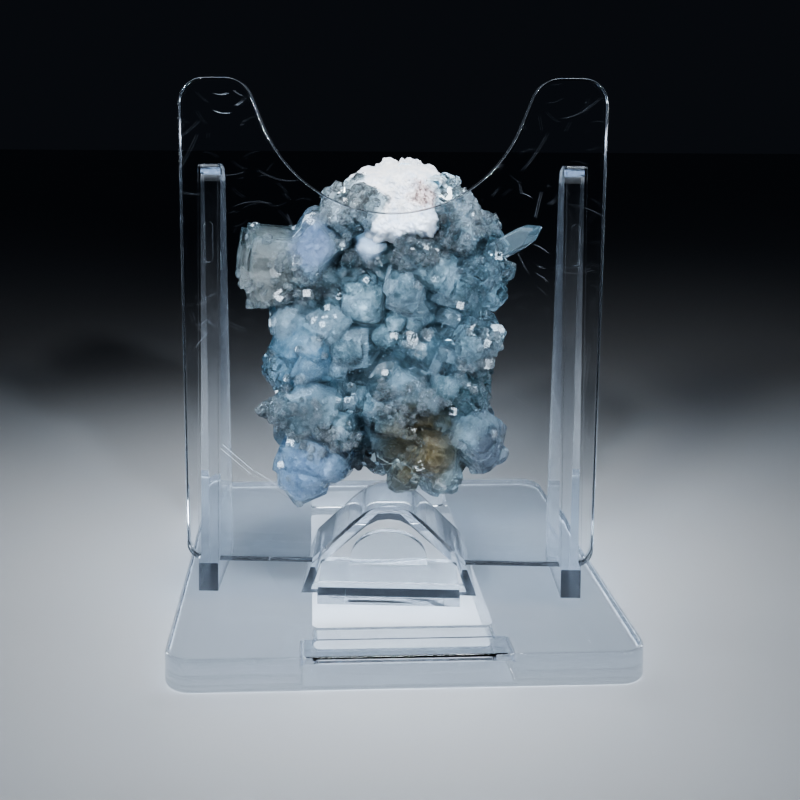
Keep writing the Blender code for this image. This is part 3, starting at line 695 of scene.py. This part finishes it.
def glinting_crystals():
    """Clear crystals whose flat ends catch a glint lamp, where the photo shows flashes."""
    # x, z, behind the plate, half width, which lamp
    rows = [
        (2.6, 41.0, 0.2, 1.6, 0), (4.6, 39.0, 0.2, 1.0, 1), (0.4, 41.6, 0.3, 0.7, 0),
        (-14.6, 52.0, 0.3, 1.5, 0), (-16.8, 50.6, 0.4, 1.0, 0), (-13.0, 49.6, 0.3, 0.9, 1),
        (-12.2, 47.6, 0.6, 0.7, 0), (-16.2, 47.2, 0.9, 0.9, 0), (-5.6, 34.0, 0.3, 0.8, 0),
        (-5.2, 30.6, 0.4, 0.6, 1), (2.9, 27.4, 0.4, 1.0, 0), (4.6, 22.6, 0.6, 0.9, 1),
        (2.0, 18.0, 1.2, 0.9, 0), (-10.4, 27.4, 0.5, 0.8, 0), (-14.6, 25.6, 0.9, 0.7, 0),
        (-8.2, 26.8, 0.4, 0.6, 0), (12.4, 42.4, 0.8, 1.0, 1), (14.2, 37.4, 1.2, 0.9, 1),
        (10.2, 46.0, 0.6, 0.7, 1), (6.4, 49.8, 0.5, 0.6, 0), (9.0, 30.6, 0.7, 0.7, 0),
        (12.4, 33.6, 1.0, 0.6, 1), (-0.8, 36.2, 0.4, 0.6, 0), (-18.6, 30.2, 2.4, 0.8, 0),
        (-7.6, 47.2, 0.5, 0.5, 0), (15.8, 53.0, 2.2, 0.7, 1), (12.4, 58.8, 2.0, 0.7, 1),
        (-7.4, 62.4, 2.6, 0.6, 0), (-3.6, 49.6, 0.5, 0.5, 0), (-16.0, 22.2, 1.2, 0.6, 0),
        (5.6, 33.2, 0.5, 0.5, 0), (15.2, 27.2, 1.3, 0.7, 1), (-15.2, 35.0, 0.9, 0.5, 0),
    ]
    slimmer = 0.8
    length = 5.5 * MM
    chance = random.Random(8)
    crystals = []
    for x, z, behind, half, lamp in rows:
        tip = Vector((x * MM, PLATE_BACK + (GLINT_TIP_GAP + behind) * MM, z * MM))
        axis = (Vector(GLINTS[lamp]) - tip).normalized() + (EYE - tip).normalized()
        axis = axis.normalized() + Vector([chance.uniform(-0.02, 0.02) for _ in range(3)])
        crystal = Crystal(tip, axis, half * slimmer * MM, length, chance.uniform(0.12, 0.22),
                          chance.uniform(0.7, 0.9), chance.uniform(0.0, 1.57), 0.0, 0.0)
        crystals.append(crystal)
        for _ in range(chance.choice((1, 2, 3))):
            across = Vector((chance.uniform(-1.1, 1.1), chance.uniform(-1.1, 1.1))) * crystal.half
            crystals.append(crystal.offshoot(across, chance.uniform(-0.3, 0.1) * MM,
                                             chance.uniform(0.25, 0.6), 0.0))
    return crystals


def stepped_growth(crystals):
    """Smaller crystals on the axes of the larger ones, as apophyllite grows in steps."""
    smallest = 1.9 * MM
    chance = random.Random(41)
    found = []
    for crystal in crystals:
        if crystal.half < smallest:
            continue
        for _ in range(chance.choice((1, 2, 3, 4))):
            share = chance.uniform(0.25, 0.6)
            room = crystal.half * (1.08 - share)
            across = Vector((chance.uniform(-room, room), chance.uniform(-room, room)))
            found.append(crystal.offshoot(across, chance.uniform(0.15, 0.9) * MM, share, chance.random()))
    return found


def filling_crystals(crystals):
    """Seeded crystals over the rim, the back and the gaps left in front."""
    chance = random.Random(29)
    # lift of each ring from the front pole to the back pole, and how many crystals it has
    rows = [(-1.54, 5), (-1.49, 9), (-1.40, 14), (-1.22, 18), (-0.92, 22), (-0.60, 28), (-0.30, 34),
            (-0.02, 38), (0.28, 34), (0.60, 28), (0.92, 22), (1.22, 14), (1.44, 7)]
    under_crust = (1.8, 60.2, 8.5, 7.5)
    spacing = 0.8 * MM
    found = []
    for lift, count in rows:
        start = chance.uniform(0.0, 6.28)
        for i in range(count):
            angle = start + 2.0 * math.pi * (i + chance.uniform(-0.3, 0.3)) / count
            level = lift + chance.uniform(-0.10, 0.10)
            tip = envelope(angle, level, chance.uniform(0.0, 1.4))
            axis = envelope_normal(angle, level, 0.5)
            axis += Vector([chance.uniform(-0.4, 0.4) for _ in range(3)])
            half = chance.triangular(0.8, 3.3, 1.5) * MM
            length = chance.uniform(5.0, 7.5) * MM
            core = chance.uniform(0.5, 0.85) if chance.random() < 0.5 else 0.0
            made = Crystal(tip, axis, half, length, chance.choice((0.2, 0.35, 0.5, 0.7)),
                           chance.uniform(0.05, 0.5), chance.uniform(0.0, 1.57), core, chance.random())
            if level < 0.1 and within(tip, *under_crust):
                continue
            if level < -0.15:
                spot = np.array([tip])
                if any(c.holds(spot, spacing)[0] for c in crystals):
                    continue
            found.append(made)
    return found


def fitted(crystals):
    """Draws each crystal back along its axis until it stands clear of the holder."""
    tries = 12
    step = Vector((0.0, 0.0, 0.35 * MM))
    kept = []
    for crystal in crystals:
        for _ in range(tries):
            if stands_clear(np.array(crystal.placed())).all():
                kept.append(crystal)
                break
            crystal.tip = crystal.tip - crystal.turn @ step
    return kept


def body_shape(inset, around, rows, rough):
    """Closed lumpy body inside the outer form; inset and rough in millimetres."""
    shape = bmesh.new()
    rings = []
    for j in range(1, rows):
        lift = -math.pi / 2 + math.pi * j / rows
        ring = []
        for i in range(around):
            angle = 2.0 * math.pi * i / around
            point = envelope(angle, lift, inset)
            bump = noise.fractal(point / MM * 0.16, 0.7, 2.1, 3) * rough
            ring.append(shape.verts.new(point + envelope_normal(angle, lift, inset) * bump * MM))
        rings.append(ring)
    front = shape.verts.new(envelope(0.0, -math.pi / 2, inset))
    back = shape.verts.new(envelope(0.0, math.pi / 2, inset))
    for lower, upper in zip(rings, rings[1:]):
        for i in range(around):
            k = (i + 1) % around
            shape.faces.new((lower[i], lower[k], upper[k], upper[i]))
    for i in range(around):
        k = (i + 1) % around
        shape.faces.new((front, rings[0][k], rings[0][i]))
        shape.faces.new((back, rings[-1][i], rings[-1][k]))
    bmesh.ops.recalc_face_normals(shape, faces=shape.faces)
    return shape


def joined(name, shapes, material):
    """One piece of several shapes; its deep attribute is one on the first."""
    whole = bmesh.new()
    for i, shape in enumerate(shapes):
        deep = shape.faces.layers.float.new("deep")
        for face in shape.faces:
            face[deep] = 1.0 if i == 0 else 0.0
        part = bpy.data.meshes.new("part")
        shape.to_mesh(part)
        shape.free()
        whole.from_mesh(part)
        bpy.data.meshes.remove(part)
    return object_from(name, whole, material)


PATCH_MIDDLE = (1.8, 60.8)
PATCH = [(-6.4, 63.6), (-2.1, 65.7), (2.6, 66.5), (6.6, 65.6), (8.2, 63.1), (9.1, 60.8), (8.6, 57.6),
         (6.0, 55.2), (2.1, 54.7), (-0.6, 54.6), (-2.3, 53.6), (-4.1, 54.6), (-5.2, 57.2), (-6.2, 60.0)]


def front_of(x, z, inset):
    """How far forward the cluster's outer form lies at a place seen from the front; millimetres."""
    side = Vector((x, z)) - Vector((CENTRE.x, CENTRE.z)) / MM
    out = min(1.0, side.length / (reach(math.atan2(side.y, side.x)) - inset))
    return CENTRE.y / MM - (FRONT_DEPTH - inset) * (1.0 - out ** 4) ** 0.575


def crust_shape():
    """Powdery matrix over the top of the front: a thick scab with a ragged rim, sunk at its edge."""
    shape = bmesh.new()
    around, rows, back_rows = 170, 60, 14
    reaches = [edge_reach(PATCH, PATCH_MIDDLE, 2.0 * math.pi * i / around) for i in range(around)]

    def place(i, j):
        out = j / rows
        turn = 2.0 * math.pi * i / around
        heading = Vector((math.cos(turn), math.sin(turn), 5.0))
        ragged = 1.06 + 0.17 * noise.fractal(heading * 3.0, 0.7, 2.1, 3)
        away = reaches[i] * out * ragged
        x = PATCH_MIDDLE[0] + away * math.cos(turn)
        z = PATCH_MIDDLE[1] + away * math.sin(turn)
        flat = Vector((x, 0.0, z))
        rough = noise.fractal(flat * 0.45, 0.7, 2.1, 5) * 0.9 + noise.noise(flat * 3.1) * 0.3
        sunk = max(0.0, (out - 0.5) / 0.5) ** 2.0 * 5.5
        y = front_of(x, z, 0.5) + sunk - rough
        return Vector((x, max(y, FRONT_LIMIT / MM + 0.1 + 0.1 * rough), z)) * MM

    top = shape.verts.new(place(0, 0))
    rings = [[shape.verts.new(place(i, j)) for i in range(around)] for j in range(1, rows + 1)]
    middle = Vector((PATCH_MIDDLE[0], CENTRE.y / MM + 1.5, 57.0)) * MM
    rim = [vertex.co.copy() for vertex in rings[-1]]
    for j in range(1, back_rows):
        ring = []
        for corner in rim:
            point = corner.lerp(middle, j / back_rows)
            rough = noise.fractal(point / MM * 0.5, 0.7, 2.1, 4)
            bulge = 1.6 * math.sin(math.pi * j / back_rows) + rough
            ring.append(shape.verts.new(point + Vector((0.0, bulge, 0.0)) * MM))
        rings.append(ring)
    root = shape.verts.new(middle)
    for i in range(around):
        k = (i + 1) % around
        shape.faces.new((top, rings[0][i], rings[0][k]))
        shape.faces.new((root, rings[-1][k], rings[-1][i]))
        for inner, outer in zip(rings, rings[1:]):
            shape.faces.new((inner[i], outer[i], outer[k], inner[k]))
    bmesh.ops.recalc_face_normals(shape, faces=shape.faces)
    return shape


def largest_island(shape):
    """Leaves only the largest joined-up part of a mesh, with slivers and doubled corners merged."""
    sliver = 0.0015 * MM
    bmesh.ops.remove_doubles(shape, verts=shape.verts, dist=sliver)
    bmesh.ops.dissolve_degenerate(shape, edges=shape.edges, dist=sliver)
    shape.verts.ensure_lookup_table()
    seen = set()
    best = []
    for start in shape.verts:
        if start.index in seen:
            continue
        seen.add(start.index)
        island = [start]
        for vertex in island:
            for edge in vertex.link_edges:
                other = edge.other_vert(vertex)
                if other.index not in seen:
                    seen.add(other.index)
                    island.append(other)
        best = max(best, island, key=len)
    kept = set(best)
    bmesh.ops.delete(shape, geom=[v for v in shape.verts if v not in kept], context="VERTS")


def settle(piece):
    """Turns a piece's modifiers into its plain mesh."""
    graph = bpy.context.evaluated_depsgraph_get()
    mesh = bpy.data.meshes.new_from_object(piece.evaluated_get(graph))
    piece.modifiers.clear()
    piece.data = mesh


def fused(name, body, crystals, material):
    """Crystals and body as one outer skin."""
    group = bpy.data.collections.new("growing")
    for crystal in crystals:
        item = object_from("crystal", crystal.faceted())
        bpy.context.scene.collection.objects.unlink(item)
        group.objects.link(item)
    skin = object_from(name, body, material)
    step = skin.modifiers.new("fuse", "BOOLEAN")
    step.operation = "UNION"
    step.solver = "EXACT"
    step.operand_type = "COLLECTION"
    step.collection = group
    settle(skin)
    shape = bmesh.new()
    shape.from_mesh(skin.data)
    largest_island(shape)
    shape.to_mesh(skin.data)
    shape.free()
    for item in list(group.objects):
        bpy.data.objects.remove(item, do_unlink=True)
    bpy.data.collections.remove(group)
    return skin


class Tree:
    """A geometry node tree under construction."""

    def __init__(self, name, inputs):
        self.tree = bpy.data.node_groups.new(name, "GeometryNodeTree")
        face = self.tree.interface
        self.names = {}
        for label, kind, default in inputs:
            socket = face.new_socket(name=label, in_out="INPUT", socket_type=kind)
            if default is not None:
                socket.default_value = default
            self.names[label] = socket.identifier
        face.new_socket(name="Geometry", in_out="OUTPUT", socket_type="NodeSocketGeometry")
        self.entry = self.tree.nodes.new("NodeGroupInput")
        self.exit = self.tree.nodes.new("NodeGroupOutput")

    def given(self, label):
        """One of the tree's own inputs."""
        return Value(self.tree, self.entry.outputs[label])

    def node(self, kind, settings=None, values=None, out=0):
        return add_node(self.tree, kind, settings, values, out)

    def close(self, result):
        self.tree.links.new(result.socket, self.exit.inputs["Geometry"])


def growth_tree():
    """Small crystals standing on a surface, as dense as its grow attribute says."""
    tree = Tree("small_growth", [
        ("Surface", "NodeSocketGeometry", None), ("Crystal", "NodeSocketObject", None),
        ("Density", "NodeSocketFloat", 1.0), ("Smallest", "NodeSocketFloat", 1.0),
        ("Largest", "NodeSocketFloat", 2.0), ("Lean", "NodeSocketFloat", 0.6),
        ("Seed", "NodeSocketInt", 1), ("Finish", "NodeSocketMaterial", None)])
    seed = tree.given("Seed")
    lean = tree.given("Lean")
    lean_back = lean * -1.0
    half_turn = 3.14
    grow = tree.node("GeometryNodeInputNamedAttribute", {"data_type": "FLOAT"}, {"Name": "grow"})
    points = tree.node("GeometryNodeDistributePointsOnFaces", {"distribute_method": "RANDOM"}, {
        "Mesh": tree.given("Surface"), "Density": grow * tree.given("Density"), "Seed": seed}, "Points")
    most = tree.node("ShaderNodeCombineXYZ", None, {0: lean, 1: lean, 2: half_turn})
    least = tree.node("ShaderNodeCombineXYZ", None, {0: lean_back, 1: lean_back, 2: -half_turn})
    tilt = tree.node("FunctionNodeRandomValue", {"data_type": "FLOAT_VECTOR"},
                     {0: least, 1: most, "Seed": seed})
    stand = tree.node("FunctionNodeRotateRotation", {"rotation_space": "LOCAL"},
                      {"Rotation": points.also("Rotation"), "Rotate By": tilt})
    size = tree.node("FunctionNodeRandomValue", {"data_type": "FLOAT"},
                     {2: tree.given("Smallest"), 3: tree.given("Largest"), "Seed": seed}, 1)
    shape = tree.node("GeometryNodeObjectInfo", {"transform_space": "ORIGINAL"},
                      {"Object": tree.given("Crystal")}, "Geometry")
    placed = tree.node("GeometryNodeInstanceOnPoints", None, {
        "Points": points, "Instance": shape, "Rotation": stand, "Scale": size})
    solid = tree.node("GeometryNodeRealizeInstances", None, {"Geometry": placed})
    tree.close(tree.node("GeometryNodeSetMaterial", None,
                         {"Geometry": solid, "Material": tree.given("Finish")}))
    return tree


def mark_faces(piece, label, share):
    """Writes a number on each face of a piece, as an attribute that nodes read."""
    marks = piece.data.attributes.new(label, "FLOAT", "FACE")
    for face in piece.data.polygons:
        marks.data[face.index].value = share(face)


def small_growth(name, host, grow, seed, density, smallest, largest, lean, finish, habit):
    """Plain mesh of small crystals on a host mesh, and how many corners each of them has.

    grow gives a face's share of the density; habit is half width, length, tip share, flat and spin.
    """
    crystal = Crystal(Vector((0.0, 0.0, 0.6)), Vector((0.0, 0.0, 1.0)), *habit)
    seedling = object_from("seedling", crystal.solid())
    bed = object_from(name, host)
    mark_faces(bed, "grow", grow)
    tree = growth_tree()
    step = bed.modifiers.new("growth", "NODES")
    step.node_group = tree.tree
    settings = {"Crystal": seedling, "Density": density, "Smallest": smallest, "Largest": largest,
                "Lean": lean, "Seed": seed, "Finish": finish}
    for label, setting in settings.items():
        step[tree.names[label]] = setting
    settle(bed)
    bpy.data.objects.remove(seedling, do_unlink=True)
    return bed, len(crystal.corners)


def kept_islands(piece, size, wanted):
    """Leaves only the wanted crystals, each of which has so many corners, one after another."""
    count = len(piece.data.vertices)
    places = np.zeros(count * 3, np.float32)
    piece.data.vertices.foreach_get("co", places)
    places = places.reshape(-1, size, 3)
    keep = wanted(places)
    shape = bmesh.new()
    shape.from_mesh(piece.data)
    doomed = [v for v in shape.verts if not keep[v.index // size]]
    bmesh.ops.delete(shape, geom=doomed, context="VERTS")
    shape.to_mesh(piece.data)
    shape.free()


def carried(piece, slot_name, *nodes):
    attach(piece, "root")
    if nodes:
        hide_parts(*nodes)


def moulding(node_name, name, material):
    """Fine copy of a holder part, merged and smoothed."""
    source = frame["nodes"][node_name]
    shape = bmesh.new()
    shape.from_mesh(source.data)
    bmesh.ops.remove_doubles(shape, verts=shape.verts, dist=0.002 * MM)
    bmesh.ops.dissolve_limit(shape, angle_limit=math.radians(0.6), verts=list(shape.verts),
                             edges=list(shape.edges))
    piece = object_from(name, shape, material)
    piece.data.shade_smooth()
    piece.data.set_sharp_from_angle(angle=math.radians(32.0))
    flat_faces = piece.modifiers.new("flat_faces", "WEIGHTED_NORMAL")
    flat_faces.keep_sharp = True
    flat_faces.weight = 100
    return piece


def build_holder():
    # x, z, half width, half height, amount
    worn_spots = [(-23.4, 73.0, 3.2, 5.4, 0.8), (20.5, 61.0, 3.0, 8.0, 0.45),
                  (23.0, 53.0, 3.6, 6.0, 0.35), (-26.5, 42.0, 2.4, 10.0, 0.3)]
    # node, name, tint, worn spots, axis that the broad faces look along
    parts = [("stand_upright", "clear_upright", (0.95, 0.975, 1.0), worn_spots, 1),
             ("stand_base", "clear_base", (0.94, 0.97, 1.0), [], 2)]
    for node_name, name, tint, marks, axis in parts:
        piece = moulding(node_name, name, clear_moulding(name, tint, marks))
        mark_faces(piece, "rim", lambda face: 1.0 if abs(face.normal[axis]) < 0.5 else 0.0)
        carried(piece, name, node_name)


def build_cluster():
    crystals = fitted(front_crystals())
    for crystal in crystals:
        crystal.chamfered = True
    crystals += fitted(filling_crystals(crystals))
    growths = fitted(stepped_growth(crystals) + glinting_crystals())
    body = body_shape(inset=6.0, around=72, rows=30, rough=0.8)
    skin = fused("crystal_skin", body, crystals + growths, clear_crystal())
    carried(skin, "apophyllite", "apophyllite_cluster")
    shapes = [body_shape(inset=4.6, around=200, rows=90, rough=1.6)]
    least_core = 0.25
    shapes += [crystal.cloud() for crystal in crystals if crystal.core > least_core]
    core = joined("milky_core", shapes, milky_core())
    carried(core, "apophyllite")
    crust = object_from("matrix_crust", crust_shape(), chalky_crust())
    crust.data.shade_smooth()
    carried(crust, "apophyllite")
    grow_sugar(skin)


SUGARY = [
    # x, z, half width, half height, share
    (-7.5, 61.5, 5.5, 4.5, 1.0), (12.5, 59.5, 4.5, 4.5, 0.8), (2.5, 31.4, 5.5, 3.4, 0.9),
    (-2.5, 55.0, 3.6, 3.6, 0.8), (-14.5, 49.0, 4.0, 4.0, 0.5), (-14.0, 28.5, 6.5, 3.0, 0.8),
    (-9.0, 25.6, 5.0, 2.2, 0.8), (14.0, 36.5, 4.0, 4.5, 0.5), (1.4, 54.4, 9.0, 3.2, 1.2),
]


def grow_sugar(skin):
    """Tiny crystals on the skin, thick in the sugary places and thin elsewhere."""
    def lush(face):
        place = face.center
        share = max(0.0, noise.noise(place / MM * 0.3)) * 0.3
        for *ellipse, amount in SUGARY:
            if place.y < CENTRE.y and within(place, *ellipse):
                share = max(share, amount)
        return share

    def clear_of_holder(places):
        return stands_clear(places.reshape(-1, 3)).reshape(len(places), -1).all(axis=1)

    host = bmesh.new()
    host.from_mesh(skin.data)
    sugar, corners = small_growth(
        "sugar", host, lush, seed=5, density=0.8e6, smallest=0.00025, largest=0.0008, lean=0.9,
        finish=sugar_crystal(), habit=(0.85, 2.0, 0.5, 0.25, 0.3))
    kept_islands(sugar, corners, clear_of_holder)
    carried(sugar, "apophyllite")


def set_camera():
    lens = bpy.data.cameras.new("view")
    lens.lens = 45.0
    lens.sensor_width = 36.0
    lens.shift_x = 0.0545
    lens.shift_y = -0.27
    lens.clip_start = 0.005
    lens.clip_end = 20.0
    camera = bpy.data.objects.new("view", lens)
    bpy.context.scene.collection.objects.link(camera)
    heading = Matrix.Rotation(math.radians(1.846), 4, "Z")
    tilt = Matrix.Rotation(math.radians(90.0 - 2.83), 4, "X")
    roll = Matrix.Rotation(math.radians(0.30), 4, "Z")
    camera.matrix_world = Matrix.Translation(CAMERA_PLACE) @ heading @ tilt @ roll
    bpy.context.scene.camera = camera


def softbox(name, place, width, height, watts, spread, colour):
    lamp = bpy.data.lights.new(name, "AREA")
    lamp.shape = "RECTANGLE"
    lamp.size = width
    lamp.size_y = height
    lamp.energy = watts
    lamp.color = colour
    lamp.spread = math.radians(spread)
    item = bpy.data.objects.new(name, lamp)
    bpy.context.scene.collection.objects.link(item)
    place = Vector(place)
    turn = (LAMP_AIM - place).to_track_quat("-Z", "Y").to_matrix().to_4x4()
    item.matrix_world = Matrix.Translation(place) @ turn


def set_stage():
    """Pale floor, soft lamps and a dark room behind."""
    shape = bmesh.new()
    bmesh.ops.create_grid(shape, x_segments=8, y_segments=8, size=4.0)
    floor = object_from("floor", shape, pale_floor())
    for row in LAMPS:
        softbox(*row)
    world = bpy.data.worlds.new("studio")
    world.use_nodes = True
    room = world.node_tree.nodes["Background"]
    room.inputs["Color"].default_value = (0.011, 0.013, 0.017, 1.0)
    room.inputs["Strength"].default_value = 1.0
    bpy.context.scene.world = world
    bpy.context.scene.view_settings.look = "AgX - High Contrast"


set_camera()
set_stage()
build_holder()
build_cluster()
